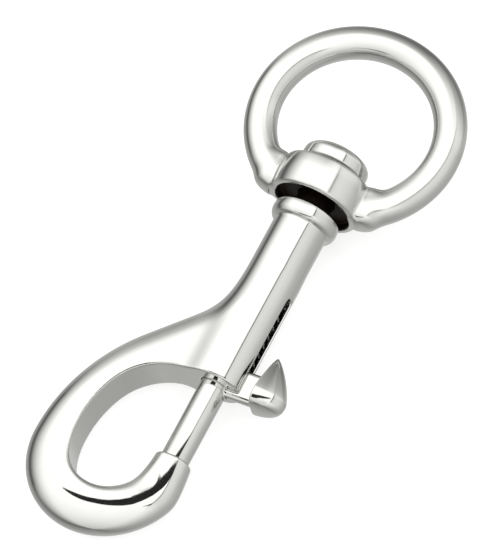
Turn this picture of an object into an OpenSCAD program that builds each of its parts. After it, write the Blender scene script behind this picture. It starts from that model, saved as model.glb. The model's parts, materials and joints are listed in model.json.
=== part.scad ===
// Swivel snap hook with a spring bolt gate, lying on its side.
//
// Pieces: a cast hook body whose barrel ends in a headed swivel post, a cast
// eye that turns on that post, a slide bolt with its thumb knob, and the coil
// spring that holds the bolt shut.  The swivel axis runs along Y towards the
// eye, the knob is on the +X side and Z is square to the hook's flat side.

/* [Eye] */
// Inside width of the ring
eye_bore_d = 25.4; // [16:0.1:40]
// Thickness of the ring's round bar
eye_wire_d = 5.5; // [4:0.1:8]
// Outside diameter of the drum that the post turns in
drum_d = 15.6; // [14:0.1:20]
// Length of the drum along the swivel axis
drum_len = 6.2; // [5.6:0.1:9]
// How far the drum stands inside the ring, past the bar
drum_rise = 3.05; // [0:0.05:3.5]
// Rounding of the drum's two rims
drum_edge = 0.8; // [0.3:0.1:1.2]
// Depth of the hollow under the drum
hollow_depth = 1.4; // [0.5:0.1:2]
// Width of the rim around that hollow
hollow_rim = 1.3; // [0.8:0.1:2]

// Angle at which the eye lies, turned on its post
eye_turn = 9; // [0:1:30]

/* [Swivel post] */
// Diameter of the post
post_d = 6.2; // [4.5:0.1:7.5]
// Diameter of the head that holds the eye on
head_d = 11.2; // [9:0.1:12.5]
// Height of the head
head_len = 3.9; // [2:0.1:6]
// Rounding of the head's upper rim
head_edge = 1.2; // [0.4:0.1:1.6]
// Gap between the drum and the barrel's collar
swivel_gap = 1.1; // [0.6:0.1:2]

/* [Barrel] */
// Outside diameter of the barrel
barrel_d = 9.2; // [8.6:0.1:12]
// Length of the barrel from the collar's face to its mouth
barrel_len = 34.5; // [32:0.1:44]
// Diameter of the collar under the drum
collar_d = 11.2; // [10:0.1:13]
// Length of the collar
collar_len = 3.6; // [2:0.1:5]
// Rounding of the collar's rims
collar_edge = 1.1; // [0.4:0.1:1.4]
// Metal left between the bore's end and the collar's face
crown = 3.2; // [2:0.1:5]

/* [Bolt] */
// Diameter of the sliding bolt
bolt_d = 4.8; // [4:0.1:5.2]
// Travel of the bolt from shut to open
bolt_travel = 14.4; // [8:0.1:15]
// How far the bolt runs on past the stem, towards the spring
bolt_lead = 1.5; // [0.5:0.1:3]
// Width of the slot that the knob's stem runs in
slot_w = 2.4; // [1.6:0.1:3.6]
// How far the stem stands out of the barrel's mouth with the gate shut
stem_drop = 1.2; // [0.5:0.1:2]
// Length of the stem along the bolt
stem_len = 5.6; // [3:0.1:7]
// Length of the thumb knob along the bolt
knob_len = 10.2; // [8:0.1:13]
// Half-width of the knob at its round end
knob_half_w = 3.3; // [2.4:0.1:4]
// Height of the knob's crown above its foot
knob_rise = 5.2; // [4:0.1:6]
// Distance from the bolt's axis to the knob's foot
knob_foot = 7.4; // [6.4:0.1:9]

/* [Hook] */
// Clear gate between the barrel's mouth and the nose
gate = 14.8; // [12:0.1:16]
// Width of the hook's bar, seen on its flat side
bar_w = 7.8; // [6.4:0.1:9]
// Thickness of the hook's bar
bar_t = 7; // [6:0.1:8.4]
// Radius inside the bend
bend_r = 6.3; // [6:0.1:8]
// Distance from the swivel axis to the bend's centre
bend_offset = 9.9; // [9:0.1:12]
// Distance from the nose's end down to the bend's centre
bend_drop = 2.9; // [1.5:0.1:4]
// Radius along the outside of the hook's back
back_r = 31.3; // [26:0.1:36]
// Rounding of the bar's outer corners
outer_round = 3.2; // [1.5:0.1:3.4]
// Radius of the opening's upper corner
throat_r = 11.5; // [9:0.1:14]
// Width of the bevel around the opening
bevel = 0.9; // [0.3:0.1:1.4]
// Diameter of the nose at its end
nose_d = 6.3; // [6:0.1:7]
// Angle before the nose's end at which the bar starts to narrow
nose_angle = 28; // [15:1:40]
// Depth of the bolt's seat in the nose
seat_depth = 0.8; // [0.4:0.1:1.2]

/* [Spring] */
// Diameter of the spring's wire
spring_wire = 0.5; // [0.3:0.05:0.7]
// Outside diameter of the spring
spring_d = 4.5; // [3.6:0.1:4.8]

/* [Fits] */
// Radial clearance of the post in the eye
post_clear = 0.1; // [0.03:0.01:0.2]
// Radial clearance of the bolt in its bore
bolt_clear = 0.1; // [0.03:0.01:0.2]
// Gap between faces that meet but stay free
face_clear = 0.05; // [0.02:0.01:0.15]

/* [Hidden] */
$fn = 96;
EPS = 0.01;
// The bend is this much slimmer than its neighbours and runs this far into them
SEAM = 0.03;
SEAM_ANGLE = 1.5;
// How far a cut runs on past the metal that it cuts
OVER = 1;
// Facets of the small rounds that are hulled together
HULL_FN = 40;

// Stations along the swivel axis, from the ring's centre at y = 0
ring_r = (eye_bore_d + eye_wire_d) / 2;
head_clear = 3 * post_clear;
drum_top = -ring_r + eye_wire_d / 2 + drum_rise;
drum_bottom = drum_top - drum_len;
collar_top = drum_bottom - swivel_gap;
mouth_y = collar_top - barrel_len;
bore_end = collar_top - crown;
nose_y = mouth_y - gate;
bend_y = nose_y - bend_drop;
bolt_tip = nose_y - seat_depth + face_clear;
stem_low = mouth_y - stem_drop - face_clear;
stem_high = stem_low + stem_len;
slot_top = stem_high + bolt_travel + face_clear;
bolt_top = stem_high + bolt_lead;
bolt_r = bolt_d / 2;
bolt_edge = 0.4;
bore_r = bolt_r + bolt_clear;
// The knob: its lower end, its foot's pad, the small end of its drop and the two balls of its crown
knob_drop = 0.8;
knob_low = stem_low - knob_drop;
knob_pad = 0.8;
knob_tip_r = 0.8;
crown_ball_r = 2.4;
crown_ball_shift = 0.6;
ridge_ball_r = 1.4;
ridge_ball_drop = 3;
ridge_ball_shift = 3;
// The spring is never wider than its bore lets it turn
spring_r = min(spring_d, bolt_d - bolt_clear) / 2;
// The hook's back: an arc, then a straight run at 45 degrees into the barrel
bend_outer = bend_r + bar_w;
back_x = -bend_offset - bend_outer;
arc_x = back_x + back_r;
arc_end = [arc_x, bend_y] + back_r * [-cos(45), sin(45)];
run_len = -arc_end.x / cos(45);
web_reach = 6;
web_w = bar_w + web_reach;
nose_taper = bar_w - nose_d;
nose_pad = 1.6;
nose_edge = 0.7;
throat_x = -bend_offset - bend_r + throat_r;
throat_y = mouth_y - throat_r;
// The object leans until the drum and the bend both touch what it lies on
lean = asin((drum_d - bar_t) / 2 / (drum_top - drum_len / 2 - bend_y + bend_r));

// A cylinder along Y from y0 up to y1, with an optional second radius
module rod_y(y0, y1, r0, r1 = undef) {
    translate([0, y0, 0]) rotate([-90, 0, 0])
        cylinder(h = y1 - y0, r1 = r0, r2 = is_undef(r1) ? r0 : r1);
}

// A cylinder along Y with its rims rounded to radius e, turned as one shape
module round_rod_y(y0, y1, r, e0, e1) {
    rotate([-90, 0, 0]) rotate_extrude() {
        polygon([[0, y0], [r - e0, y0], [r, y0 + e0], [r, y1 - e1], [r - e1, y1], [0, y1]]);
        if (e0 > 0) translate([r - e0, y0 + e0]) corner_disc(e0, -1);
        if (e1 > 0) translate([r - e1, y1 - e1]) corner_disc(e1, 1);
    }
}

// The outer quarter of a disc, which rounds one corner of a turned profile
module corner_disc(e, side) {
    intersection() {
        circle(r = e);
        translate([0, side > 0 ? 0 : -e]) square(e);
    }
}

// The bar's section, from its inner side at x = 0: outer corners round, inner corners bevelled
module bar_section(w, t, b = bevel) {
    h = t / 2;
    e = min(outer_round, h - 0.2);
    polygon([[0, b - h], [b, -h], [w - e, -h], [w, e - h], [w, h - e], [w - e, h], [b, h], [0, h - b]]);
    for (side = [-1, 1]) translate([w - e, side * (h - e)]) corner_disc(e, side);
}

// Everything lies as it rests: leant about the ring's centre
module at_rest() {
    rotate([lean, 0, 0]) children();
}

module hook_body() {
    color([0.72, 0.72, 0.70]) at_rest() difference() {
        union() {
            post();
            barrel();
            hook_bar();
        }
        bolt_way();
    }
}

module post() {
    rod_y(collar_top - OVER, drum_top + OVER, post_d / 2);
    round_rod_y(drum_top + face_clear, drum_top + face_clear + head_len, head_d / 2, 0, head_edge);
}

module barrel() {
    rod_y(mouth_y, collar_top - collar_len / 2, barrel_d / 2);
    round_rod_y(collar_top - collar_len, collar_top, collar_d / 2, collar_edge, collar_edge);
}

// The bore, the knob's slot out through the +X wall, and the seat in the nose
module bolt_way() {
    rod_y(mouth_y - OVER, bore_end, bore_r);
    translate([0, mouth_y - OVER, -slot_w / 2]) cube([barrel_d, slot_top + OVER - mouth_y, slot_w]);
    rod_y(nose_y - seat_depth, nose_y + OVER, bore_r);
}

module hook_bar() {
    difference() {
        hook_back();
        opening_corner();
        translate([0, mouth_y - OVER, -bar_t]) cube([3 * web_w, 3 * web_w, 2 * bar_t]);
    }
    translate([-bend_offset, bend_y, 0]) rotate([0, 0, 180 - SEAM_ANGLE])
        rotate_extrude(angle = 180 - nose_angle + SEAM_ANGLE)
            translate([bend_r + SEAM, 0]) bar_section(bar_w - 2 * SEAM, bar_t - 2 * SEAM);
    nose();
}

// The back and the web that joins it to the barrel
module hook_back() {
    translate([arc_x, bend_y, 0]) rotate([0, 0, 135])
        rotate_extrude(angle = 45) translate([back_r - web_w, 0]) bar_section(web_w, bar_t);
    translate([arc_end.x, arc_end.y, 0]) rotate([0, 0, 45]) rotate([0, 90, 0])
        linear_extrude(height = run_len) rotate([0, 0, 90])
            translate([-web_w, 0]) bar_section(web_w, bar_t);
}

// The opening above the bend: straight up, round the corner and along to the barrel
module opening_corner() {
    translate([throat_x, throat_y, 0]) rotate([0, 0, 90]) rotate_extrude(angle = 90) opening_section();
    translate([throat_x, throat_y, 0]) rotate([90, 0, 0]) mirror([1, 0, 0])
        linear_extrude(height = throat_y - bend_y) opening_section();
    translate([throat_x - EPS, throat_y, 0]) rotate([90, 0, 90])
        linear_extrude(height = 2 * throat_r) opening_section();
    translate([throat_x - EPS, bend_y, -bar_t]) cube([2 * throat_r, throat_y - bend_y + EPS, 2 * bar_t]);
}

// Half of the opening's section, flared at both faces by the bevel
module opening_section() {
    h = bar_t / 2;
    flare = throat_r + bevel + OVER;
    polygon([[0, -h - OVER], [flare, -h - OVER], [throat_r, bevel - h],
             [throat_r, h - bevel], [flare, h + OVER], [0, h + OVER]]);
}

// The bar narrows from the bend into the nose
module nose() {
    hull() {
        nose_slice(nose_angle + SEAM_ANGLE, 0);
        nose_slice(nose_angle, 0);
        nose_slice(nose_angle / 2, nose_taper / 2);
        round_rod_y(nose_y - nose_pad, nose_y, nose_d / 2, 0, nose_edge, $fn = HULL_FN);
    }
}

// A thin slice of the bar at an angle below the nose, narrowed on its inner side
module nose_slice(angle, narrowing) {
    translate([-bend_offset, bend_y, 0]) rotate([0, 0, -angle])
        translate([bend_r + narrowing, EPS, 0]) rotate([90, 0, 0]) linear_extrude(height = 2 * EPS)
            bar_section(bar_w - narrowing, bar_t - narrowing / 2, $fn = HULL_FN);
}

module swivel_eye() {
    color([0.74, 0.74, 0.72]) at_rest() rotate([0, eye_turn, 0]) difference() {
        union() {
            rotate_extrude() translate([ring_r, 0]) circle(d = eye_wire_d);
            round_rod_y(drum_bottom, drum_top, drum_d / 2, drum_edge, drum_edge);
        }
        rod_y(drum_bottom - OVER, drum_top + OVER, post_d / 2 + post_clear);
        rod_y(drum_bottom - OVER, drum_bottom + hollow_depth, drum_d / 2 - hollow_rim);
        rod_y(-ring_r - eye_wire_d, drum_bottom, drum_d / 2);
        rod_y(drum_top, drum_top + eye_wire_d + head_len, head_d / 2 + head_clear);
    }
}

module slide_bolt() {
    color([0.76, 0.76, 0.74]) at_rest() {
        round_rod_y(bolt_tip, bolt_top, bolt_r, bolt_edge, bolt_edge / 2);
        translate([0, stem_low, -slot_w / 2 + bolt_clear])
            cube([knob_foot + knob_pad - EPS, stem_len, slot_w - 2 * bolt_clear]);
        knob();
    }
}

// The thumb knob: a low dome with a drop-shaped foot, pointed towards the eye
module knob() {
    belly_y = knob_low + knob_half_w;
    crown_x = knob_foot + knob_rise;
    intersection() {
        hull() {
            foot_pad(belly_y, knob_half_w);
            foot_pad(knob_low + knob_len - knob_tip_r, knob_tip_r);
            translate([crown_x - crown_ball_r, belly_y + crown_ball_shift, 0])
                sphere(r = crown_ball_r, $fn = HULL_FN);
            translate([crown_x - ridge_ball_drop, belly_y + ridge_ball_shift, 0])
                sphere(r = ridge_ball_r, $fn = HULL_FN);
        }
        translate([knob_foot, knob_low - OVER, -knob_half_w - OVER])
            cube([knob_rise + OVER, knob_len + 2 * OVER, 2 * (knob_half_w + OVER)]);
    }
}

// A round pad at the knob's foot
module foot_pad(y, r) {
    translate([knob_foot, y, 0]) rotate([0, 90, 0]) cylinder(r = r, h = knob_pad, $fn = HULL_FN);
}

// The spring, drawn as the sleeve of space that its coils fill
module spring() {
    color([0.6, 0.6, 0.6]) at_rest() difference() {
        rod_y(bolt_top + face_clear, bore_end - face_clear, spring_r);
        rod_y(bolt_top - OVER, bore_end + OVER, spring_r - spring_wire);
    }
}

hook_body();
swivel_eye();
slide_bolt();
spring();
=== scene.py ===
# %% [markdown]
# # A swivel snap hook, polished
# The CAD model holds the sizes, the fits and what moves. This script gives each casting its true skin:
# soft fillets where the mould ran together, crowned faces, crisp lips where the drill went in.
# Everything is worked out in millimetres with the swivel axis along Y, then leant and set down in
# metres just as the CAD part lies.

# %% Load the frame
import json
import math

import bpy
import numpy as np
from mathutils import Matrix, Vector


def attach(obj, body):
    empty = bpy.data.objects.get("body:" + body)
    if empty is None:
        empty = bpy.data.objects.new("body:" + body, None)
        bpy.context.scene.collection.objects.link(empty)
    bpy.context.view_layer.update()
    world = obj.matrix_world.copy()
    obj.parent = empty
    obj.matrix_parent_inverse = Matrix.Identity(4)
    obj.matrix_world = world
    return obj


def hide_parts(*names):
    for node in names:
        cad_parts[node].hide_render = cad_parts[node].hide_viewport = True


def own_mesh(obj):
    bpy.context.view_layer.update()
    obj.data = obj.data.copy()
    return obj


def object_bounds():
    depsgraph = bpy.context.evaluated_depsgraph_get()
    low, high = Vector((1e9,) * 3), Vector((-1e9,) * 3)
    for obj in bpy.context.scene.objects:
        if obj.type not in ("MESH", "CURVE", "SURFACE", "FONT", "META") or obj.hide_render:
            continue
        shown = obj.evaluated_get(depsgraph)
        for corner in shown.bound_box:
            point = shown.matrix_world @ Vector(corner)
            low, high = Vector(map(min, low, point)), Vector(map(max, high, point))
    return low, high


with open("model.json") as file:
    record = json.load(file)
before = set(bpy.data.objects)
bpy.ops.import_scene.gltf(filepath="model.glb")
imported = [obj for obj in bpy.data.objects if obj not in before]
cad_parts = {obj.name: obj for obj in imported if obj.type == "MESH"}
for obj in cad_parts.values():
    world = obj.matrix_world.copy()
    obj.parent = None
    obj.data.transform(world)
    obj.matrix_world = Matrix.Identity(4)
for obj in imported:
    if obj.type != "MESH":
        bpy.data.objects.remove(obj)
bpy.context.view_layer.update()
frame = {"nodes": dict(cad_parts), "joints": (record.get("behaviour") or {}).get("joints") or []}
joints = {joint["name"]: joint for joint in frame["joints"]}
axis = Vector(joints["bolt_slide"]["axis"]).normalized()
travel = max(joints["bolt_slide"]["range_m"]) * 1000
LEAN = math.atan2(axis.z, axis.y)

# %% [markdown]
# ## The sizes
# These are the sizes that the CAD source has, in millimetres. Only the knob sits a little nearer the
# eye. Stations are counted along the swivel axis from the ring's centre, and they run negative towards
# the hook.

# %% Sizes of the eye and the post
RING_R = 15.45
WIRE_R = 2.75
DRUM_R = 7.8
DRUM_LEN = 6.2
DRUM_TOP = -9.65
DRUM_LOW = DRUM_TOP - DRUM_LEN
HOLLOW_DEPTH = 1.4
HOLLOW_RIM = 1.3
HOLLOW_R = DRUM_R - HOLLOW_RIM
POST_R = 3.1
POST_GAP = 0.1
HEAD_R = 5.6
HEAD_LEN = 3.9
HEAD_GAP = 0.05
HEAD_LOW = DRUM_TOP + HEAD_GAP
HEAD_TOP = HEAD_LOW + HEAD_LEN
EYE_TURN = math.radians(9)
print("ring across", 2 * (RING_R + WIRE_R), "mm, drum from", round(DRUM_LOW, 2), "to", DRUM_TOP)

# %% Sizes of the barrel and the bolt
SWIVEL_GAP = 1.1
COLLAR_LEN = 3.6
BARREL_LEN = 34.5
BORE_CROWN = 3.2
COLLAR_TOP = DRUM_LOW - SWIVEL_GAP
COLLAR_LOW = COLLAR_TOP - COLLAR_LEN
COLLAR_R = 5.6
BARREL_R = 4.6
MOUTH = COLLAR_TOP - BARREL_LEN
BORE_END = COLLAR_TOP - BORE_CROWN
BORE_R = 2.5
GATE_LEN = 14.8
NOSE_END = MOUTH - GATE_LEN
print("mouth at", round(MOUTH, 2), "nose at", round(NOSE_END, 2))

# %% Sizes of the bolt, its stem and its knob
BOLT_R = 2.4
BOLT_IN_NOSE = 0.75
BOLT_TAIL = 1.5
BOLT_TIP = NOSE_END - BOLT_IN_NOSE
STEM_DROP = 1.25
STEM_LEN = 5.6
STEM_HALF = 1.0
STEM_LOW = MOUTH - STEM_DROP
STEM_HIGH = STEM_LOW + STEM_LEN
BOLT_TOP = STEM_HIGH + BOLT_TAIL
SLIDE_GAP = 0.05
SLOT_HALF = 1.2
SLOT_TOP = STEM_HIGH + travel + SLIDE_GAP
KNOB_FOOT = 7.4
KNOB_RISE = 5.2
KNOB_DROP = 0.5
KNOB_LOW = STEM_LOW - KNOB_DROP
KNOB_LEN = 10.2
KNOB_HALF = 3.3
print("bolt from", round(BOLT_TIP, 2), "to", round(BOLT_TOP, 2), "slot up to", round(SLOT_TOP, 2))

# %% Sizes of the hook
BEND_SIDE, BEND_DROP = 9.9, 2.9
BEND = np.array([-BEND_SIDE, NOSE_END - BEND_DROP])
BEND_IN = 6.3
BAR_W = 7.8
BEND_OUT = BEND_IN + BAR_W
HALF_T = 3.5
BACK_R = 31.3
THROAT_R = 11.5
NOSE_R = 3.15
THROAT = np.array([BEND[0] - BEND_IN + THROAT_R, MOUTH - THROAT_R])
BACK = np.array([BEND[0] - BEND_OUT + BACK_R, BEND[1]])
print("bend centred on", np.round(BEND, 2), "opening across the bend", 2 * BEND_IN)

# %% [markdown]
# ## Shapes as fields
# A casting has few sharp corners, and its fillets are the hardest part to model by hand. So each
# casting is written as a field: a function that is negative inside the metal and positive outside.
# Two fields join with a soft minimum, which leaves a fillet, and one cuts the other with a soft
# maximum, which leaves a broken edge. Blender's remesh and bevel tools could do the joins, but on
# mirror polish every ripple shows, and a field can be followed exactly.

# %% Fields for turned shapes, and the soft joins
def soft_min(a, b, k):
    """The union of two shapes with a fillet about k wide."""
    near = np.maximum(k - np.abs(a - b), 0) / k
    return np.minimum(a, b) - near**3 * k / 6


def soft_max(a, b, k):
    """What two shapes share, with the edge between them broken by about k."""
    return -soft_min(-a, -b, k)


def rounded(u, v, edge):
    """A corner of radius edge where two faces at signed distances u and v meet."""
    u, v = u + edge, v + edge
    return np.minimum(np.maximum(u, v), 0) + np.hypot(np.maximum(u, 0), np.maximum(v, 0)) - edge


def rod(p, low, high, radius, edge=0.3, belly=0.0):
    """A cylinder along Y with rounded rims, slimmer by belly at its ends than at its middle."""
    along = np.abs(p[:, 1] - (low + high) / 2) / ((high - low) / 2)
    side = np.hypot(p[:, 0], p[:, 2]) - radius + belly * np.minimum(along, 2) ** 2
    return rounded(side, (along - 1) * (high - low) / 2, edge)


def blend_up(x, low, high):
    """Rises smoothly from 0 at low to 1 at high."""
    t = np.clip((x - low) / (high - low), 0, 1)
    return t * t * (3 - 2 * t)


print("two faces 1 mm apart, joined over 3 mm:", round(float(soft_min(0.0, 1.0, 3.0)), 3))

# %% [markdown]
# ## From a field to a mesh
# The field is sampled on a grid. Each grid cell that the skin passes through gets one point, and each
# grid edge that the skin crosses gets one quad between the four cells around it. The points then slide
# along the skin to even out, and drop onto it by Newton's steps, so the shading is as smooth as the
# field itself.

# %% Points where the skin crosses the grid
CORNERS = [(i, j, k) for i in (0, 1) for j in (0, 1) for k in (0, 1)]
EDGES = [(a, b) for a in range(8) for b in range(a + 1, 8)
         if sum(abs(u - v) for u, v in zip(CORNERS[a], CORNERS[b])) == 1]


def cell_points(value, low, step):
    """One point for each cell that the skin crosses, and the table from cell to point."""
    size = np.array(value.shape) - 1
    corner = [value[i:i + size[0], j:j + size[1], k:k + size[2]] for i, j, k in CORNERS]
    inside = sum((c < 0).astype(np.int8) for c in corner)
    cells = np.argwhere((inside > 0) & (inside < 8))
    at = tuple(cells.T)
    total, count = np.zeros((len(cells), 3)), np.zeros(len(cells))
    for a, b in EDGES:
        va, vb = corner[a][at], corner[b][at]
        cross = (va < 0) != (vb < 0)
        t = np.where(cross, va / np.where(cross, va - vb, 1), 0)
        start, way = np.array(CORNERS[a]), np.array(CORNERS[b]) - np.array(CORNERS[a])
        total += cross[:, None] * (start + t[:, None] * way)
        count += cross
    table = np.full(tuple(size), -1)
    table[at] = np.arange(len(cells))
    return low + step * (cells + total / count[:, None]), table


print("a cell has", len(CORNERS), "corners and", len(EDGES), "edges")


# %% Quads between the points
def cell_quads(value, table):
    """One quad for each grid edge that the skin crosses, facing outwards."""
    quads = []
    for way in range(3):
        u, v = (way + 1) % 3, (way + 2) % 3
        a = np.moveaxis(value, (way, u, v), (0, 1, 2))
        cells = np.moveaxis(table, (way, u, v), (0, 1, 2))
        first, last = a[:-1, 1:-1, 1:-1] < 0, a[1:, 1:-1, 1:-1] < 0
        for leaves in (True, False):
            i, j, k = np.argwhere((first == leaves) & (last != leaves)).T
            ring = [cells[i, j, k], cells[i, j + 1, k], cells[i, j + 1, k + 1], cells[i, j, k + 1]]
            quads.append(np.stack(ring if leaves else ring[::-1], 1))
    return np.concatenate(quads)


cube = np.ones((4, 4, 4))
cube[1:3, 1:3, 1:3] = -1
print("a small cube skins to", len(cell_quads(cube, cell_points(cube, np.zeros(3), 1)[1])), "quads")


# %% Settle the points on the skin
def slope_of(field, points, probe):
    """How fast a field rises along each axis at each point, by looking probe to either side."""
    return np.stack([(field(points + probe * d) - field(points - probe * d)) / (2 * probe)
                     for d in np.eye(3)], 1)


def settle(field, points, quads, step, rounds=6):
    """Evens out the points along the skin and drops them onto it. The last two rounds only drop."""
    ends = np.concatenate([quads[:, [a, (a + 1) % 4]] for a in range(4)])
    ends = np.concatenate([ends, ends[:, ::-1]])
    count = np.bincount(ends[:, 0], minlength=len(points))[:, None]
    probe = step * 0.02
    for turn in range(rounds):
        if turn < rounds - 2:
            mean = np.stack([np.bincount(ends[:, 0], points[ends[:, 1], w], len(points))
                             for w in range(3)], 1) / count
            points = points + 0.5 * (mean - points)
        value = field(points)
        slope = slope_of(field, points, probe)
        steep = np.maximum((slope**2).sum(1), 0.05)
        move = -(value / steep)[:, None] * slope
        far = np.linalg.norm(move, axis=1, keepdims=True)
        points = points + move * np.minimum(1, step / np.maximum(far, 1e-9))
    return points


print("slope of a plain ramp", slope_of(lambda p: p[:, 0], np.zeros((1, 3)), 0.1)[0])

# %% [markdown]
# Each point keeps one number, its recess: the script looks straight out from the skin at a few
# distances and sees how much room there is. The metals are painted darker by it, as painted shade in
# hollows and creases.

# %% How shut in each point is
REACHES = (0.5, 1.1, 2.2, 4.2)


def recess(points, field, around, step):
    """How shut in each point is, from 0 in the open to 1 in a hollow."""
    slope = slope_of(field, points, step * 0.1)
    out = slope / np.maximum(np.linalg.norm(slope, axis=1, keepdims=True), 1e-9)
    room = [np.clip(around(points + reach * out) / reach, 0, 1) for reach in REACHES]
    return np.maximum(1 - np.mean(room, 0), under_drum(points))


def under_drum(p):
    """1 in the hollow under the drum, which is painted as full shade."""
    radius, roof = np.hypot(p[:, 0], p[:, 2]), DRUM_LOW + HOLLOW_DEPTH + 0.2
    level = blend_up(p[:, 1], COLLAR_TOP - 0.35, COLLAR_TOP - 0.1) * (p[:, 1] < roof)
    return level * (1 - blend_up(radius, HOLLOW_R + 0.05, HOLLOW_R + 0.3))


print("recess looks out", REACHES, "mm")


# %% Cast a piece
def cast(name, field, around, low, high, step, body, slot_name, nodes, turn=0.0):
    """Skins a field between two corners, sets it down as the part lies, and hands it to its body."""
    low, high = np.array(low, float), np.array(high, float)
    size = np.ceil((high - low) / step).astype(int) + 1
    ticks = [low[w] + step * np.arange(size[w]) for w in range(3)]
    grid = np.stack(np.meshgrid(*ticks, indexing="ij"), -1).reshape(-1, 3)
    value = field(grid).reshape(size)
    points, table = cell_points(value, low, step)
    quads = cell_quads(value, table)
    points = settle(field, points, quads, step)
    mesh = bpy.data.meshes.new(name)
    mesh.from_pydata((points / 1000).tolist(), [], quads.tolist())
    mesh.transform(Matrix.Rotation(LEAN, 4, "X") @ Matrix.Rotation(turn, 4, "Y"))
    mesh.polygons.foreach_set("use_smooth", [True] * len(mesh.polygons))
    mesh.attributes.new("recess", "FLOAT", "POINT").data.foreach_set(
        "value", recess(points, field, around, step).astype(np.float32))
    mesh.validate()
    piece = bpy.data.objects.new(name, mesh)
    bpy.context.scene.collection.objects.link(piece)
    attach(piece, body)
    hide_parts(*nodes)
    print(name, len(points), "points", len(quads) * 2, "triangles")
    return piece


# %% [markdown]
# ## The hook's outline
# Seen on its flat side, the hook is two smooth lines: the outside, which runs down the back and round
# the bend to the nose, and the edge of the opening. Each is a chain of arcs that touch smoothly, ended
# by a gentle curve into the nose. Distances to the two lines are worked out once on a flat grid and
# then read back smoothly.

# %% Chains of arcs
def arc(centre, radius, first, last, count=90):
    """Points along an arc, in degrees from first to last."""
    a = np.radians(np.linspace(first, last, count))
    return centre + radius * np.stack([np.cos(a), np.sin(a)], 1)


def ease(start, way_out, end, way_in, count=40):
    """A smooth curve that leaves start along way_out and reaches end along way_in."""
    t = np.linspace(0, 1, count)[:, None]
    start, end, way_out, way_in = map(np.array, (start, end, way_out, way_in))
    return ((2 * t**3 - 3 * t**2 + 1) * start + (t**3 - 2 * t**2 + t) * way_out
            + (3 * t**2 - 2 * t**3) * end + (t**3 - t**2) * way_in)


def heading(degrees, length):
    """The way an arc is going at an angle, times a length."""
    a = math.radians(degrees)
    return length * np.array([-math.sin(a), math.cos(a)])


print("heading at the top of an arc", np.round(heading(90, 1), 2))

# %% The outside line
ROOT_SIDE = 1.5
ROOT_TOP = MOUTH + 8
OUTER_END, OUTER_PULL = 340, 6
NOSE_TAPER = 0.6
slope_end = BACK + BACK_R * np.array([-math.cos(math.pi / 4), math.sin(math.pi / 4)])
slope_top = slope_end[1] - slope_end[0] + ROOT_SIDE
outer_bend = arc(BEND, BEND_OUT, 180, OUTER_END, 160)
outer_tip = ease(outer_bend[-1], heading(OUTER_END, OUTER_PULL), (NOSE_R, NOSE_END),
                 (-NOSE_TAPER, OUTER_PULL))
OUTSIDE = np.concatenate([
    np.array([[ROOT_SIDE, ROOT_TOP], [ROOT_SIDE, slope_top]]),
    arc(BACK, BACK_R, 135, 180, 120),
    outer_bend[1:],
    outer_tip[1:],
    np.array([[NOSE_R - NOSE_TAPER, MOUTH]]),
])
print("outside line", len(OUTSIDE), "points")

# %% The line of the opening, with its gate shut and open
THROAT_END, THROAT_PULL = 138, 17
INNER_START, START_PULL = 218, 15
INNER_END, INNER_PULL = 328, 5
GATE_SIDE = 7.5
throat = arc(THROAT, THROAT_R, 90, THROAT_END, 60)
inner_bend = arc(BEND, BEND_IN, INNER_START, INNER_END, 120)
back_edge = ease(throat[-1], heading(THROAT_END, THROAT_PULL), inner_bend[0],
                 heading(INNER_START, START_PULL))
inner_tip = ease(inner_bend[-1], heading(INNER_END, INNER_PULL), (-NOSE_R, NOSE_END), (0, INNER_PULL))
OPEN_EDGE = np.concatenate([throat, back_edge[1:-1], inner_bend, inner_tip[1:]])
WITH_GATE = np.concatenate([OPEN_EDGE, np.array([[GATE_SIDE, NOSE_END], [GATE_SIDE, MOUTH]])])
INNER = np.concatenate([OPEN_EDGE, np.array([[-NOSE_R, MOUTH]])])
print("opening", len(INNER), "points, with its gate", len(WITH_GATE))


# %% Distance to a chain, kept on a flat grid
class Outline:
    """Signed distance to a closed line, negative inside it, read back with smooth cubics."""

    STEP = 0.2

    def __init__(self, line, low, high):
        self.low = np.array(low, float)
        size = np.ceil((np.array(high) - self.low) / self.STEP).astype(int) + 1
        x, y = (self.low[w] + self.STEP * np.arange(size[w]) for w in (0, 1))
        spots = np.stack(np.meshgrid(x, y, indexing="ij"), -1).reshape(-1, 2)
        starts, ways = line, np.roll(line, -1, 0) - line
        near = np.full(len(spots), 1e9)
        crossings = np.zeros(len(spots), int)
        for start, way in zip(starts, ways):
            off = spots - start
            along = np.clip(off @ way / max(way @ way, 1e-12), 0, 1)
            near = np.minimum(near, ((off - along[:, None] * way) ** 2).sum(1))
            spans = (start[1] > spots[:, 1]) != (start[1] + way[1] > spots[:, 1])
            rise = way[1] if abs(way[1]) > 1e-12 else 1e-12
            crossings += spans & (spots[:, 0] < start[0] + way[0] * (spots[:, 1] - start[1]) / rise)
        sign = np.where(crossings % 2 == 1, -1, 1)
        self.table = (sign * np.sqrt(near)).reshape(size)

    def __call__(self, p):
        """The distance at each point's x and y."""
        at = (p[:, :2] - self.low) / self.STEP
        at = np.clip(at, 1, np.array(self.table.shape) - 2.001)
        cell = np.floor(at).astype(int)
        t = at - cell
        total = np.zeros(len(p))
        for i, wx in enumerate(cubic(t[:, 0])):
            for j, wy in enumerate(cubic(t[:, 1])):
                total += wx * wy * self.table[cell[:, 0] + i - 1, cell[:, 1] + j - 1]
        return total


def cubic(t):
    """The weights of a smooth cubic B-spline, which rounds off the grid's own noise."""
    return ((1 - t) ** 3 / 6, (3 * t**3 - 6 * t**2 + 4) / 6,
            (-3 * t**3 + 3 * t**2 + 3 * t + 1) / 6, t**3 / 6)


print("a cubic's weights halfway", [round(weight, 3) for weight in cubic(0.5)])

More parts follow.
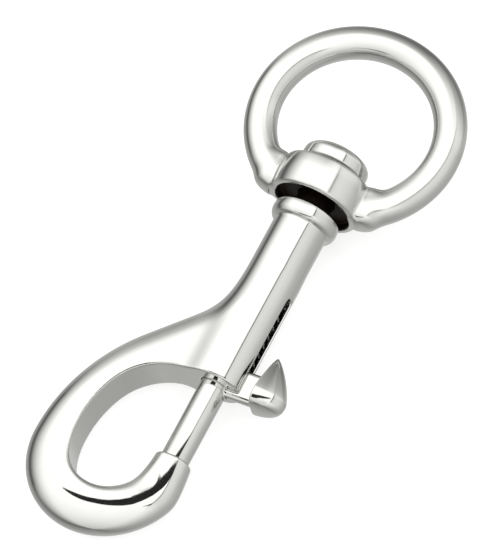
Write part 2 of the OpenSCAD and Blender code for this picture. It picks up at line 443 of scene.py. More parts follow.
# %% The three outlines
HOOK_LOW, HOOK_HIGH = (-26.0, -86.0), (8.0, -26.0)
outside = Outline(OUTSIDE, HOOK_LOW, HOOK_HIGH)
inner = Outline(INNER, HOOK_LOW, HOOK_HIGH)
opening = Outline(WITH_GATE, HOOK_LOW, HOOK_HIGH)
print("each outline keeps a table of", outside.table.shape, "distances")

# %% [markdown]
# ## The hook body
# One casting: hook, web, barrel, collar and post. The web's outer side is crowned, and its inner side
# is a flat wall with a narrow bevel. Round the bend the two sides grow rounder until the nose is
# almost a round bar. The bore and the slot are drilled and milled afterwards, so their lips are crisp.

# %% The hook's bar and web
CROWN_WEB, CROWN_BEND, CROWN_NOSE = 5.4, 5.9, 3.2
LIP_WEB, LIP_BEND, LIP_NOSE = 0.5, 0.9, 3.0
HALF_NOSE = 3.15
BENT_TURN, TIP_TURN, LIP_TURN = (185, 262), (300, 345), (235, 350)
WEB_FADE = (MOUTH - 11, MOUTH - 5)
SMALLEST = 1e-9
SOFT = 0.35
CRISP = 0.3


def bend_turn(p):
    """The angle round the bend, from 90 degrees at its top, down the back, to 450."""
    turn = np.degrees(np.arctan2(p[:, 1] - BEND[1], p[:, 0] - BEND[0]))
    return np.where(turn < 90, turn + 360, turn)


def bar_field(p):
    """The bar, from its distances to the outside line and to the opening."""
    turn = bend_turn(p)
    below = 1 - blend_up(p[:, 1], *WEB_FADE)
    bent, tip, soft = (blend_up(turn, *ends) * below for ends in (BENT_TURN, TIP_TURN, LIP_TURN))
    crown = CROWN_WEB + (CROWN_BEND - CROWN_WEB) * bent + (CROWN_NOSE - CROWN_BEND) * tip
    lip = LIP_WEB + (LIP_BEND - LIP_WEB) * bent + (LIP_NOSE - LIP_BEND) * soft
    half = HALF_T + (HALF_NOSE - HALF_T) * tip
    height = np.abs(p[:, 2])
    out = np.maximum((outside(p) + crown) / crown, 0)
    skin = half * (np.sqrt(out**2 + (height / half) ** 2 + SMALLEST) - 1)
    wall = np.maximum((lip - inner(p)) / lip, 0)
    top = np.maximum((height - half + lip) / lip, 0)
    lip_skin = lip * (np.sqrt(wall**2 + top**2 + SMALLEST) - 1)
    return soft_max(skin, lip_skin, SOFT)


print("crown", CROWN_WEB, CROWN_BEND, CROWN_NOSE, "lip", LIP_WEB, LIP_BEND, LIP_NOSE)


# %% The slot, the collar and the post
SLOT_RUNOUT = 2
COLLAR_EDGE, COLLAR_BELLY = 0.9, 0.3
COLLAR_SLOPE, SLOPE_SCALE = 0.55, 0.87
HEAD_EDGE, HEAD_BELLY = 1.5, 0.25


def slot_field(p):
    """The slot for the knob's stem: open at the mouth, round at its top."""
    over = np.maximum(p[:, 1] - (SLOT_TOP - SLOT_HALF), 0)
    sides = np.maximum(np.hypot(p[:, 2], over) - SLOT_HALF, -p[:, 0])
    return np.maximum(sides, MOUTH - SLOT_RUNOUT - p[:, 1])


def collar_field(p):
    """The collar: a rounded rim, then a short slope back to the barrel."""
    rim = rod(p, COLLAR_LOW + 0.3, COLLAR_TOP, COLLAR_R + 0.1, COLLAR_EDGE, COLLAR_BELLY)
    slope = np.hypot(p[:, 0], p[:, 2]) - BARREL_R - COLLAR_SLOPE * (p[:, 1] - COLLAR_LOW + 0.7)
    return soft_max(rim, slope * SLOPE_SCALE, CRISP)


def post_field(p):
    """The collar's neck and the head that holds the eye on."""
    neck = rod(p, COLLAR_TOP - 1, HEAD_LOW + 1, POST_R)
    head = rod(p, HEAD_LOW, HEAD_TOP, HEAD_R + 0.1, HEAD_EDGE, HEAD_BELLY)
    under = p[:, 1] - HEAD_LOW
    return np.minimum(neck, soft_max(head, -under, CRISP))


print("collar edge", COLLAR_EDGE, "head edge", HEAD_EDGE)

# %% The whole hook body
ROOT_FILLET, OPENING_EDGE = 4.5, 0.5
OVERRUN = 6
HOOK_STEP = 0.27
HOOK_BOX = (-25, -84.5, -6.2), (6.4, -4.8, 6.2)


def hook_body_field(p):
    """The bar, barrel, collar and post in one, with the opening, the slot, the bore and the seat cut."""
    barrel = rod(p, MOUTH - 4, COLLAR_TOP - 1, BARREL_R)
    metal = soft_min(bar_field(p), barrel, ROOT_FILLET)
    metal = soft_min(metal, collar_field(p), SOFT)
    metal = np.minimum(metal, post_field(p))
    metal = soft_max(metal, -opening(p), OPENING_EDGE)
    bore = rod(p, MOUTH - OVERRUN, BORE_END, BORE_R)
    seat = rod(p, BOLT_TIP - SLIDE_GAP, NOSE_END + OVERRUN, BORE_R)
    metal = soft_max(metal, -slot_field(p), CRISP)
    return soft_max(metal, -np.minimum(bore, seat), CRISP)


def with_eye(p):
    """The hook with the drum over its post, for telling what is shut in."""
    drum = np.maximum(rod(p, DRUM_LOW, DRUM_TOP, DRUM_R),
                      -rod(p, DRUM_LOW - OVERRUN, DRUM_LOW + HOLLOW_DEPTH, HOLLOW_R))
    return np.minimum(hook_body_field(p), drum)


hook_body = cast("hook_body_casting", hook_body_field, with_eye, *HOOK_BOX, HOOK_STEP,
                 "hook", "polished_metal", ["hook_body"])

# %% [markdown]
# ## The swivel eye
# The ring runs into the drum at both sides with a swelling where the mould was fed. The drum is hollow
# underneath, so that the collar's rim tucks up under it.

# %% The eye's field
LUG_X, LUG_R, LUG_EDGE = 8.3, 2.6, 1.6
DRUM_EDGE, DRUM_BELLY = 0.5, 0.35
RING_FILLET, DRUM_FILLET = 1.8, 0.7
EYE_STEP = 0.27
EYE_BOX = (-18.7, -18.9, -8.2), (18.7, 18.7, 8.2)


def lug_field(p):
    """The ribs up both sides of the drum, where the ring's bar meets it."""
    q = np.stack([np.abs(p[:, 0]) - LUG_X, p[:, 1], p[:, 2]], 1)
    return rod(q, DRUM_LOW + 0.1, DRUM_TOP + 0.5, LUG_R, LUG_EDGE)


def swivel_eye_field(p):
    """The ring, its ribs and its drum in one, with the hollow, the hole and room for the head cut."""
    ring = np.hypot(np.hypot(p[:, 0], p[:, 1]) - RING_R, p[:, 2]) - WIRE_R
    drum = rod(p, DRUM_LOW, DRUM_TOP, DRUM_R + 0.1, DRUM_EDGE, DRUM_BELLY)
    under = rod(p, -RING_R - 9, DRUM_LOW, DRUM_R + 0.1, 0.1)
    ring = soft_max(ring, -under, 0.8)
    metal = soft_min(soft_min(ring, lug_field(p), RING_FILLET), drum, DRUM_FILLET)
    hollow = rod(p, DRUM_LOW - OVERRUN, DRUM_LOW + HOLLOW_DEPTH, HOLLOW_R)
    metal = soft_max(metal, -hollow, DRUM_EDGE)
    metal = np.maximum(metal, -rod(p, DRUM_LOW - OVERRUN, DRUM_TOP + OVERRUN, POST_R + POST_GAP))
    over = rod(p, DRUM_TOP, DRUM_TOP + 14, HEAD_R + 3 * POST_GAP, 0.2)
    return soft_max(metal, -over, CRISP)


def with_post(p):
    """The eye with the post through it."""
    return np.minimum(swivel_eye_field(p), np.minimum(collar_field(p), post_field(p)))


swivel_eye = cast("swivel_eye_casting", swivel_eye_field, with_post, *EYE_BOX, EYE_STEP,
                  "eye", "polished_metal", ["swivel_eye"], EYE_TURN)

# %% [markdown]
# ## The slide bolt
# A round bolt, a flat stem that reaches out through the slot, and a thumb knob shaped like half a drop:
# pointed towards the eye, full and round where the thumb pulls. It is cast as the other two are, on a
# finer grid, because its edges are smaller. For its painted shade only its own shape counts as a
# recess, and not the bore around it.

# %% The stem's field
def stem_field(p):
    """The stem, a flat block with round ends, like the slot it runs in."""
    along = np.abs(p[:, 1] - (STEM_LOW + STEM_HIGH) / 2) - (STEM_HIGH - STEM_LOW) / 2
    flat = np.abs(p[:, 2]) - STEM_HALF
    out = np.maximum(-p[:, 0], p[:, 0] - KNOB_FOOT - 1)
    return np.maximum(rounded(along, flat, STEM_HALF - SLIDE_GAP), out)


print("stem", round(STEM_HIGH - STEM_LOW, 2), "by", 2 * STEM_HALF, "mm")

# %% The knob's field
BELLY_AT, KNOB_EDGE = 0.27, 0.5
HEEL_POWER, POINT_POWER, POINT_BLUNT = 3.0, 1.25, 0.8
THINNEST = 0.03


def knob_field(p):
    """Half a drop on a flat foot: full and round low down, drawn out to a point above."""
    u = (p[:, 1] - KNOB_LOW) / KNOB_LEN
    below = np.clip((BELLY_AT - u) / BELLY_AT, 0, 1)
    above = np.clip((u - BELLY_AT) / (1 - BELLY_AT), 0, 1)
    heel, point = (1 - below**HEEL_POWER) ** (1 / HEEL_POWER), (1 - above**POINT_POWER) ** POINT_BLUNT
    full = np.maximum(np.where(u < BELLY_AT, heel, point), THINNEST)
    reach = np.hypot((p[:, 0] - KNOB_FOOT) / KNOB_RISE, p[:, 2] / KNOB_HALF)
    drop = (reach - full) * KNOB_HALF * 0.8
    ends = np.abs(p[:, 1] - KNOB_LOW - KNOB_LEN / 2) - KNOB_LEN / 2
    drop = np.maximum(drop, ends)
    return soft_max(drop, KNOB_FOOT - p[:, 0], KNOB_EDGE)


print("knob fullest", round(BELLY_AT * KNOB_LEN, 2), "mm above its heel")

# %% The whole bolt
BOLT_EDGE, STEM_FILLET, KNOB_FILLET = 0.45, 0.5, 0.6
BOLT_STEP = 0.16
BOLT_BOX = (-2.8, BOLT_TIP - 0.6, -3.8), (13.2, KNOB_LOW + KNOB_LEN + 0.6, 3.8)


def slide_bolt_field(p):
    """The bolt, its stem and its knob in one."""
    bolt = rod(p, BOLT_TIP, BOLT_TOP, BOLT_R, BOLT_EDGE)
    metal = soft_min(bolt, stem_field(p), STEM_FILLET)
    return soft_min(metal, knob_field(p), KNOB_FILLET)


slide_bolt = cast("slide_bolt_casting", slide_bolt_field, slide_bolt_field, *BOLT_BOX, BOLT_STEP,
                  "bolt", "polished_metal", ["slide_bolt"])

# %% [markdown]
# ## The spring
# A coil spring follows a rule, a helix, so Geometry Nodes winds it: a spiral curve with the wire's
# round section swept along it. The tree has named inputs for its sizes. The coils close up as the bolt
# slides.

# %% The spring's tree
SPRING_R = 2.0
SPRING_WIRE = 0.25
SPRING_TURNS = 14.0
SPRING_GAP = 0.1
COIL_SIDES, WIRE_SIDES = 40, 12


def spring_tree():
    """The tree that winds a coil spring from its named sizes."""
    tree = bpy.data.node_groups.new("coil_spring", "GeometryNodeTree")
    for title, kind in (("Turns", "NodeSocketFloat"), ("Coil Radius", "NodeSocketFloat"),
                        ("Wire Radius", "NodeSocketFloat"), ("Length", "NodeSocketFloat"),
                        ("Material", "NodeSocketMaterial")):
        tree.interface.new_socket(title, in_out="INPUT", socket_type=kind)
    tree.interface.new_socket("Geometry", in_out="OUTPUT", socket_type="NodeSocketGeometry")
    add, link = tree.nodes.new, tree.links.new
    sizes, out = add("NodeGroupInput"), add("NodeGroupOutput")
    coil, wire = add("GeometryNodeCurveSpiral"), add("GeometryNodeCurvePrimitiveCircle")
    coil.inputs["Resolution"].default_value = COIL_SIDES
    wire.inputs["Resolution"].default_value = WIRE_SIDES
    link(sizes.outputs["Turns"], coil.inputs["Rotations"])
    link(sizes.outputs["Coil Radius"], coil.inputs["Start Radius"])
    link(sizes.outputs["Coil Radius"], coil.inputs["End Radius"])
    link(sizes.outputs["Length"], coil.inputs["Height"])
    link(sizes.outputs["Wire Radius"], wire.inputs["Radius"])
    sweep, smooth = add("GeometryNodeCurveToMesh"), add("GeometryNodeSetShadeSmooth")
    sweep.inputs["Fill Caps"].default_value = True
    link(coil.outputs["Curve"], sweep.inputs["Curve"])
    link(wire.outputs["Curve"], sweep.inputs["Profile Curve"])
    real, paint = add("GeometryNodeRealizeInstances"), add("GeometryNodeSetMaterial")
    link(sweep.outputs["Mesh"], smooth.inputs["Geometry"])
    link(smooth.outputs["Geometry"], real.inputs["Geometry"])
    link(real.outputs["Geometry"], paint.inputs["Geometry"])
    link(sizes.outputs["Material"], paint.inputs["Material"])
    link(paint.outputs["Geometry"], out.inputs["Geometry"])
    return tree


print("spring wire", 2 * SPRING_WIRE, "mm on a coil", 2 * (SPRING_R + SPRING_WIRE), "mm across")

# %% [markdown]
# ## Finishes
# Every casting is polished stainless: bright, faintly warm, with a skin that is never perfectly flat.
# Three shared effects do it, each a group that every metal uses: fine hairlines and haze from the
# polishing wheel, the slow ripple that is left in a hand-polished casting, and painted shade that
# darkens the colour in hollows and creases. An image could hold the same marks, but noise on the
# piece's own coordinates has no seams and stays sharp close up.

# %% Building blocks for the effects
def new_group(title, inputs, outputs):
    """An empty shader group with named sockets."""
    group = bpy.data.node_groups.new(title, "ShaderNodeTree")
    for label, value in inputs:
        socket = group.interface.new_socket(label, in_out="INPUT", socket_type="NodeSocketFloat")
        socket.default_value = value
    for label in outputs:
        group.interface.new_socket(label, in_out="OUTPUT", socket_type="NodeSocketFloat")
    return group, group.nodes.new("NodeGroupInput"), group.nodes.new("NodeGroupOutput")


def math_node(tree, operation, a, b):
    """A math node; a and b are numbers or sockets."""
    node = tree.nodes.new("ShaderNodeMath")
    node.operation = operation
    for socket, value in zip(node.inputs, (a, b)):
        if isinstance(value, (int, float)):
            socket.default_value = value
        else:
            tree.links.new(value, socket)
    return node.outputs[0]


def noise(tree, scale, detail, stretch=(1, 1, 1)):
    """Noise on the piece's own coordinates, stretched along chosen axes."""
    place = tree.nodes.new("ShaderNodeTexCoord")
    mapping = tree.nodes.new("ShaderNodeMapping")
    mapping.inputs["Scale"].default_value = stretch
    texture = tree.nodes.new("ShaderNodeTexNoise")
    texture.inputs["Scale"].default_value = scale
    texture.inputs["Detail"].default_value = detail
    tree.links.new(place.outputs["Object"], mapping.inputs["Vector"])
    tree.links.new(mapping.outputs["Vector"], texture.inputs["Vector"])
    return texture.outputs["Fac"]


print("node groups so far", len(bpy.data.node_groups))

# %% Haze and hairlines
PATCHES, HAIRLINES = (90, 4), (700, 3)
ALONG_THE_WHEEL = (1, 0.12, 1)
HAIRLINE_SHARE = 0.35


def polish_haze():
    """Hairlines and dull patches, as a roughness to add."""
    group, sizes, out = new_group("polish_haze", [("Haze", 0.05)], ["Roughness"])
    patches = noise(group, *PATCHES)
    lines = noise(group, *HAIRLINES, ALONG_THE_WHEEL)
    dull = math_node(group, "MULTIPLY", patches, sizes.outputs["Haze"])
    fine = math_node(group, "MULTIPLY", lines, HAIRLINE_SHARE)
    fine = math_node(group, "MULTIPLY", fine, sizes.outputs["Haze"])
    group.links.new(math_node(group, "ADD", dull, fine), out.inputs["Roughness"])
    return group


HAZE = polish_haze()
print(HAZE.name, len(HAZE.nodes), "nodes")

# %% Ripple and tone
SLOW, GRAIN, TONES = (160, 2), (1400, 2), (60, 3)


def casting_ripple():
    """The slow unevenness of a hand-polished casting, as a height, and its change of tone."""
    group, sizes, out = new_group("casting_ripple", [("Grain", 0.04)], ["Height", "Tone"])
    grain = math_node(group, "MULTIPLY", noise(group, *GRAIN), sizes.outputs["Grain"])
    group.links.new(math_node(group, "ADD", noise(group, *SLOW), grain), out.inputs["Height"])
    group.links.new(noise(group, *TONES), out.inputs["Tone"])
    return group


RIPPLE = casting_ripple()
print(RIPPLE.name, len(RIPPLE.nodes), "nodes")

# %% Painted shade in the recesses
SPECKS, SPECK_DEPTH = (500, 3), 0.12
# The near-black colour of the painted shade in the recesses
PAINTED_SHADE = (0.03, 0.022, 0.017)


def recess_shade():
    """Painted shade: the more shut in a point is, the darker its colour is painted. The mask follows each
    recess.
    """
    group, sizes, out = new_group("recess_shade", [("From", 0.45), ("To", 0.72)], ["Mask"])
    shut_in = group.nodes.new("ShaderNodeAttribute")
    shut_in.attribute_name = "recess"
    specks = math_node(group, "SUBTRACT", noise(group, *SPECKS), 0.5)
    patchy = math_node(group, "MULTIPLY", specks, SPECK_DEPTH)
    spread = group.nodes.new("ShaderNodeMapRange")
    spread.interpolation_type = "SMOOTHSTEP"
    group.links.new(math_node(group, "ADD", shut_in.outputs["Fac"], patchy), spread.inputs["Value"])
    group.links.new(sizes.outputs["From"], spread.inputs["From Min"])
    group.links.new(sizes.outputs["To"], spread.inputs["From Max"])
    group.links.new(spread.outputs["Result"], out.inputs["Mask"])
    return group


RECESS_SHADE = recess_shade()
print(RECESS_SHADE.name, len(RECESS_SHADE.nodes), "nodes")

# %% The metals
RECESS_ROUGHNESS = 0.4


def metal(title, dark, light, rough, haze, ripple):
    """A polished or drawn metal: haze, ripple, a faint change of tone, and painted shade in its recesses.
    """
    material = bpy.data.materials.new(title)
    material.use_nodes = True
    tree = material.node_tree
    shader = tree.nodes["Principled BSDF"]
    shader.inputs["Metallic"].default_value = 1.0
    worn, wavy, dull = (tree.nodes.new("ShaderNodeGroup") for _ in range(3))
    worn.node_tree, wavy.node_tree, dull.node_tree = HAZE, RIPPLE, RECESS_SHADE
    worn.inputs["Haze"].default_value = haze
    # The recess mask paints the base colour towards near-black: painted shade in the hollows.
    tone, shaded_tone = tree.nodes.new("ShaderNodeMix"), tree.nodes.new("ShaderNodeMix")
    tone.data_type = shaded_tone.data_type = "RGBA"
    tone.inputs["A"].default_value = (*dark, 1)
    tone.inputs["B"].default_value = (*light, 1)
    shaded_tone.inputs["B"].default_value = (*PAINTED_SHADE, 1)
    tree.links.new(wavy.outputs["Tone"], tone.inputs["Factor"])
    tree.links.new(tone.outputs["Result"], shaded_tone.inputs["A"])
    tree.links.new(dull.outputs["Mask"], shaded_tone.inputs["Factor"])
    tree.links.new(shaded_tone.outputs["Result"], shader.inputs["Base Color"])
    base = math_node(tree, "ADD", worn.outputs["Roughness"], rough)
    # The recesses with painted shade are also made rougher.
    recess_rough = math_node(tree, "MULTIPLY", dull.outputs["Mask"], RECESS_ROUGHNESS)
    tree.links.new(math_node(tree, "ADD", base, recess_rough), shader.inputs["Roughness"])
    bump = tree.nodes.new("ShaderNodeBump")
    bump.inputs["Distance"].default_value = ripple / 1000
    bump.inputs["Strength"].default_value = 1.0
    tree.links.new(wavy.outputs["Height"], bump.inputs["Height"])
    tree.links.new(bump.outputs["Normal"], shader.inputs["Normal"])
    return material


DULL_STEEL, BRIGHT_STEEL = (0.75, 0.75, 0.73), (0.80, 0.80, 0.785)
polished = metal("polished_stainless", DULL_STEEL, BRIGHT_STEEL, 0.025, 0.05, 0.008)
eye_metal = metal("tumbled_stainless", DULL_STEEL, BRIGHT_STEEL, 0.09, 0.05, 0.008)
bolt_metal = metal("ground_bolt", (0.74, 0.74, 0.72), (0.80, 0.80, 0.78), 0.035, 0.07, 0.005)
wire_metal = metal("drawn_wire", (0.42, 0.42, 0.42), (0.55, 0.55, 0.54), 0.22, 0.12, 0.004)
for piece, finish in ((hook_body, polished), (swivel_eye, eye_metal), (slide_bolt, bolt_metal)):
    piece.data.materials.append(finish)
for node in frame["nodes"].values():
    node.data.materials.clear()
    node.data.materials.append(polished)
print("finishes", [finish.name for finish in (polished, eye_metal, bolt_metal, wire_metal)])

# %% Wind the spring and set it in the bore
SPRING_LENGTH = BORE_END - BOLT_TOP - 2 * SPRING_GAP - 2 * SPRING_WIRE
coil = bpy.data.objects.new("coil", bpy.data.meshes.new("coil"))
bpy.context.scene.collection.objects.link(coil)
winder = coil.modifiers.new("winder", "NODES")
winder.node_group = spring_tree()
settings = {"Turns": SPRING_TURNS, "Coil Radius": SPRING_R / 1000, "Wire Radius": SPRING_WIRE / 1000,
            "Length": SPRING_LENGTH / 1000, "Material": wire_metal}
for socket in winder.node_group.interface.items_tree:
    if socket.name in settings:
        winder[socket.identifier] = settings[socket.name]
bpy.context.view_layer.update()
wound = bpy.data.meshes.new_from_object(coil.evaluated_get(bpy.context.evaluated_depsgraph_get()))
bpy.data.objects.remove(coil)
wound.name = "spring_coil"
foot = (BOLT_TOP + SPRING_GAP + SPRING_WIRE) / 1000
wound.transform(Matrix.Rotation(LEAN, 4, "X") @ Matrix.Translation((0, foot, 0))
                @ Matrix.Rotation(-math.pi / 2, 4, "X"))
spring = bpy.data.objects.new("spring_coil", wound)
bpy.context.scene.collection.objects.link(spring)
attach(spring, "hook")
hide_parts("spring")
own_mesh(spring)
print("spring", len(wound.polygons), "faces, closes to", round(1 - travel / (BORE_END - BOLT_TOP), 2))

# %% [markdown]
# ## Floor, light and camera
# Polished metal is a picture of the room, so the room is the real lighting: a wide white tent over the
# left and the top, a narrow dark gap, and a dimmer panel to the right. Lamps would do for a dull
# thing, but here they would show as small hot spots. The floor is white paper that glows a little, so
# that shadows stay faint. Reflected rays pass through it and find the tent below the horizon as well.

# %% The floor
floor_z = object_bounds()[0][2]
FLOOR_R = 3.0
PAPER_WHITE, PAPER_GLOW = 0.45, 0.7
floor_corners = [(-FLOOR_R, -FLOOR_R), (FLOOR_R, -FLOOR_R), (FLOOR_R, FLOOR_R), (-FLOOR_R, FLOOR_R)]
floor_mesh = bpy.data.meshes.new("floor")
floor_mesh.from_pydata([(x, y, floor_z) for x, y in floor_corners], [], [(0, 1, 2, 3)])
floor = bpy.data.objects.new("floor", floor_mesh)
bpy.context.scene.collection.objects.link(floor)
print("floor at", round(floor_z * 1000, 2), "mm")

# %% The paper on the floor
paper = bpy.data.materials.new("white_paper")
paper.use_nodes = True
sheet = paper.node_tree
fibre = sheet.nodes["Principled BSDF"]
for socket, value in (("Base Color", (PAPER_WHITE, PAPER_WHITE, PAPER_WHITE, 1)), ("Roughness", 0.9),
                      ("Specular IOR Level", 0.0), ("Emission Color", (1, 1, 1, 1)),
                      ("Emission Strength", PAPER_GLOW)):
    fibre.inputs[socket].default_value = value
choose, clear = sheet.nodes.new("ShaderNodeMixShader"), sheet.nodes.new("ShaderNodeBsdfTransparent")
sheet.links.new(sheet.nodes.new("ShaderNodeLightPath").outputs["Is Glossy Ray"], choose.inputs["Fac"])
sheet.links.new(fibre.outputs["BSDF"], choose.inputs[1])
sheet.links.new(clear.outputs["BSDF"], choose.inputs[2])
sheet.links.new(choose.outputs["Shader"], sheet.nodes["Material Output"].inputs["Surface"])
floor_mesh.materials.append(paper)
print("paper white", PAPER_WHITE, "and glow", PAPER_GLOW)

# %% The sky's building blocks
world = bpy.data.worlds.new("tent")
bpy.context.scene.world = world
world.use_nodes = True
sky = world.node_tree
sky.nodes.clear()
TOP_LEVEL = 1.1


def sky_node(kind, **values):
    """A node of the sky, with its settings."""
    node = sky.nodes.new(kind)
    for key, value in values.items():
        setattr(node, key, value)
    return node


def sky_dot(direction, way):
    """How far a direction looks along one way."""
    node = sky_node("ShaderNodeVectorMath", operation="DOT_PRODUCT")
    sky.links.new(direction, node.inputs[0])
    node.inputs[1].default_value = tuple(way)
    return node.outputs["Value"]


def sky_math(operation, a, b=0.0):
    """A math node of the sky."""
    return math_node(sky, operation, a, b)


def sky_band(value, low, high, soft):
    """1 between low and high, falling off over soft at each end."""
    rise = sky_math("MULTIPLY", sky_math("SUBTRACT", value, low), 1 / soft)
    fall = sky_math("MULTIPLY", sky_math("SUBTRACT", high, value), 1 / soft)
    both = sky_node("ShaderNodeClamp")
    sky.links.new(sky_math("MINIMUM", rise, fall), both.inputs["Value"])
    return both.outputs["Result"]


def sky_ramp(value, bands, low, high):
    """A brightness read from a list of (degrees, level)."""
    ramp = sky_node("ShaderNodeValToRGB")
    stops = ramp.color_ramp.elements
    while len(stops) < len(bands):
        stops.new(0.5)
    for stop, (degrees, level) in zip(stops, bands):
        stop.position = (degrees - low) / (high - low)
        stop.color = (level / TOP_LEVEL, level / TOP_LEVEL, level / TOP_LEVEL, 1)
    share = sky_math("MULTIPLY", sky_math("SUBTRACT", value, low), 1 / (high - low))
    sky.links.new(share, ramp.inputs["Fac"])
    return sky_math("MULTIPLY", ramp.outputs["Color"], TOP_LEVEL)


print("world", world.name, "with levels up to", TOP_LEVEL)

# %% [markdown]
# The tent is described by two angles of the direction seen in the metal: around the swivel axis, from
# straight up towards the knob's side, and along it, towards the eye. On a barrel the first angle sweeps
# quickly across and the second hardly changes, so bands around the axis become stripes along it.

# %% The two angles of a direction
direction = sky_node("ShaderNodeTexCoord").outputs["Generated"]
side = Vector((1, 0, 0))
square_up = axis.cross(side) * -1
along = sky_math("DEGREES", sky_math("ARCSINE", sky_dot(direction, axis)))
around = sky_math("DEGREES", sky_math("ARCTAN2", sky_dot(direction, side), sky_dot(direction, square_up)))
print("up from the flat side", [round(v, 3) for v in square_up])

# %% How bright each band is
ROUND = [(-180, 0.44), (-133, 0.36), (-116, 0.31), (-104, 0.24), (-93, 0.08), (-86, 0.12),
         (-72, 0.42), (-60, 0.70), (-48, 0.94), (-38, 1.0), (37.5, 1.0), (39, 0.16), (41.5, 0.14),
         (43, 0.64), (58, 0.68), (84, 0.58), (98, 0.47), (113, 0.40), (150, 0.33), (180, 0.44)]
SOFT_ROUND = [(-180, 0.44), (-133, 0.36), (-112, 0.28), (-93, 0.18), (-76, 0.45), (-48, 0.94),
              (-38, 1.0), (37, 1.0), (60, 0.82), (84, 0.60), (113, 0.42), (150, 0.33), (180, 0.44)]
UP = [(-90, 0.45), (-50, 0.72), (-30, 0.86), (-10, 0.97), (27, 1.0), (34, 0.82), (43, 0.56),
      (52, 0.42), (60, 0.32), (70, 0.24), (90, 0.14)]
print("stops", len(ROUND), "round the axis,", len(SOFT_ROUND), "round it low down,", len(UP), "along it")

# %% The tent, from its bands
BEYOND = 200
HIGH_FROM, HIGH_SOFT = 28, 14
LOW_TO, LOW_SOFT = -14, 12
EVEN_LIGHT, EVEN_SHARE = 0.75, 0.7
RIGHT_TO, RIGHT_SOFT, RIGHT_LIFT = 120, 25, 0.6
high = sky_band(along, HIGH_FROM, BEYOND, HIGH_SOFT)
ring_light = sky_ramp(around, ROUND, -180, 180)
low = sky_band(along, -BEYOND, LOW_TO, LOW_SOFT)
soft = sky_math("SUBTRACT", sky_ramp(around, SOFT_ROUND, -180, 180), ring_light)
ring_light = sky_math("ADD", ring_light, sky_math("MULTIPLY", soft, low))
even = sky_math("SUBTRACT", EVEN_LIGHT, ring_light)
evened = sky_math("MULTIPLY", even, sky_math("MULTIPLY", high, EVEN_SHARE))
ring_light = sky_math("ADD", ring_light, evened)
tent = sky_math("MULTIPLY", ring_light, sky_ramp(along, UP, -90, 90))
right_lift = sky_math("MULTIPLY", sky_band(around, 0, RIGHT_TO, RIGHT_SOFT), high)
tent = sky_math("MULTIPLY", tent, sky_math("ADD", 1, sky_math("MULTIPLY", right_lift, RIGHT_LIFT)))
print("sky", len(sky.nodes), "nodes")

# %% Light the room
TENT_LIGHT, PAPER_LIGHT = 1.36, 1.3
paper_ray = sky_node("ShaderNodeLightPath").outputs["Is Diffuse Ray"]
level = sky_node("ShaderNodeMix")
sky.links.new(paper_ray, level.inputs["Factor"])
sky.links.new(sky_math("MULTIPLY", tent, TENT_LIGHT), level.inputs["A"])
level.inputs["B"].default_value = PAPER_LIGHT
glow = sky_node("ShaderNodeBackground")
glow.inputs["Color"].default_value = (1.0, 1.0, 0.985, 1)
sky.links.new(level.outputs["Result"], glow.inputs["Strength"])
sky.links.new(glow.outputs["Background"], sky_node("ShaderNodeOutputWorld").inputs["Surface"])
print("tent", TENT_LIGHT, "paper", PAPER_LIGHT)

# %% [markdown]
# The camera stands far off with a long lens, so that the hook is drawn almost without perspective. It
# looks down at the flat side from a little towards the hook's end and the knob's side, and it is rolled
# so that the hook lies across the picture. The standard view transform keeps white paper white.

# %% The camera
VIEW_UP, VIEW_SIDE, ROLL = math.radians(22), math.radians(24), math.radians(28.6)
VIEW_HEIGHT = 90.84
AIM_RIGHT, AIM_UP = -17.6, -24.7
FAR = 2500.0
SENSOR = 36.0
sa, ca, sb, cb = math.sin(VIEW_UP), math.cos(VIEW_UP), math.sin(VIEW_SIDE), math.cos(VIEW_SIDE)
plain_right, plain_up = Vector((cb, 0, -sb)), Vector((sa * sb, ca, sa * cb))
towards = Vector((ca * sb, -sa, ca * cb))
right = plain_right * math.cos(ROLL) + plain_up * math.sin(ROLL)
up = plain_up * math.cos(ROLL) - plain_right * math.sin(ROLL)
place = Matrix((right, up, towards)).transposed().to_4x4()
place.translation = (right * AIM_RIGHT + up * AIM_UP + towards * FAR) / 1000
lens = bpy.data.cameras.new("camera")
lens.sensor_width = SENSOR
lens.lens = FAR * SENSOR / VIEW_HEIGHT
camera = bpy.data.objects.new("camera", lens)
camera.matrix_world = Matrix.Rotation(LEAN, 4, "X") @ place
bpy.context.scene.collection.objects.link(camera)
bpy.context.scene.camera = camera
bpy.context.scene.view_settings.view_transform = "Standard"
print("camera", [round(v, 3) for v in camera.matrix_world.translation])

# %% [markdown]
# Two black cards give the polish its dark accents. One is a curved strip over the bend. Its outline is
# found backwards: from the line where its reflection should run, along the mirrored sight lines, up to
# the height where it hangs. Each row of that line gives the angle round the bend, the place across the
# bar and the width, the last two as shares of the bar. The other, small and three-cornered, is for the
# knob.

# %% Follow a sight line off the polish
CARD_HEIGHT = 34.0
PROBE = 0.02
HALVINGS = 30


def skin_height(spots):
    """The height of the hook's upper skin over each spot, by halving."""
    low, high = np.zeros(len(spots)), np.full(len(spots), HALF_T + 0.5)
    for _ in range(HALVINGS):
        middle = (low + high) / 2
        inside = hook_body_field(np.column_stack([spots, middle])) < 0
        low, high = np.where(inside, middle, low), np.where(inside, high, middle)
    return np.column_stack([spots, low])


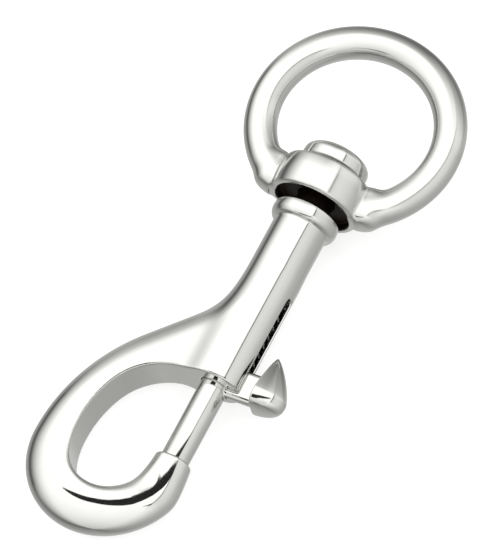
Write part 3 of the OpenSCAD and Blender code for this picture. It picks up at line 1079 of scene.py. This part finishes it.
def mirrored(spots):
    """Where the sight lines to each spot meet the card's height after the bend mirrors them."""
    p = skin_height(spots)
    slope = slope_of(hook_body_field, p, PROBE)
    out = slope / np.linalg.norm(slope, axis=1, keepdims=True)
    sight = np.array(towards)
    ray = 2 * (out @ sight)[:, None] * out - sight
    return p + ray * ((CARD_HEIGHT - p[:, 2]) / ray[:, 2])[:, None]


print("cards hang", CARD_HEIGHT, "mm over the swivel axis")

# %% The card over the bend
CARD_LINE = [(249, 0.46, 0.02), (261, 0.44, 0.07), (271, 0.44, 0.09), (284, 0.45, 0.10),
             (298, 0.50, 0.12), (308, 0.54, 0.14), (317, 0.58, 0.16), (326, 0.60, 0.18),
             (334, 0.63, 0.185), (341, 0.65, 0.175), (349, 0.67, 0.15), (357, 0.68, 0.11),
             (366, 0.70, 0.03)]
turn, across, width = (np.array(column, float) for column in zip(*CARD_LINE))
edges = []
for edge in (-0.5, 0.5):
    reach = BEND_IN + BAR_W * (across + edge * width)
    way = np.stack([np.cos(np.radians(turn)), np.sin(np.radians(turn))], 1)
    edges.append(mirrored(BEND + reach[:, None] * way))
count = len(turn)
strip = np.concatenate(edges)
strip_faces = [(i, i + 1, count + i + 1, count + i) for i in range(count - 1)]
print("card over the bend, middle at", np.round(strip.mean(0), 1))

# %% Hang the cards
VELVET = 0.02
black = bpy.data.materials.new("black_velvet")
black.use_nodes = True
nap = black.node_tree.nodes["Principled BSDF"]
nap.inputs["Base Color"].default_value = (VELVET, VELVET, VELVET, 1)
nap.inputs["Specular IOR Level"].default_value = 0.0


def hang(name, corners, faces):
    """A card that shows only in the polish."""
    mesh = bpy.data.meshes.new(name)
    mesh.from_pydata((np.array(corners) / 1000).tolist(), [], faces)
    mesh.transform(Matrix.Rotation(LEAN, 4, "X"))
    mesh.materials.append(black)
    card = bpy.data.objects.new(name, mesh)
    bpy.context.scene.collection.objects.link(card)
    card.visible_camera = card.visible_diffuse = card.visible_shadow = card.visible_transmission = False


KNOB_CARD = [(14, -88), (28, -90), (28, -86)]
hang("card_over_bend", strip, strip_faces)
hang("card_for_knob", [(x, y, CARD_HEIGHT) for x, y in KNOB_CARD], [(0, 1, 2)])
print("cards", len(strip_faces) + 1, "faces")
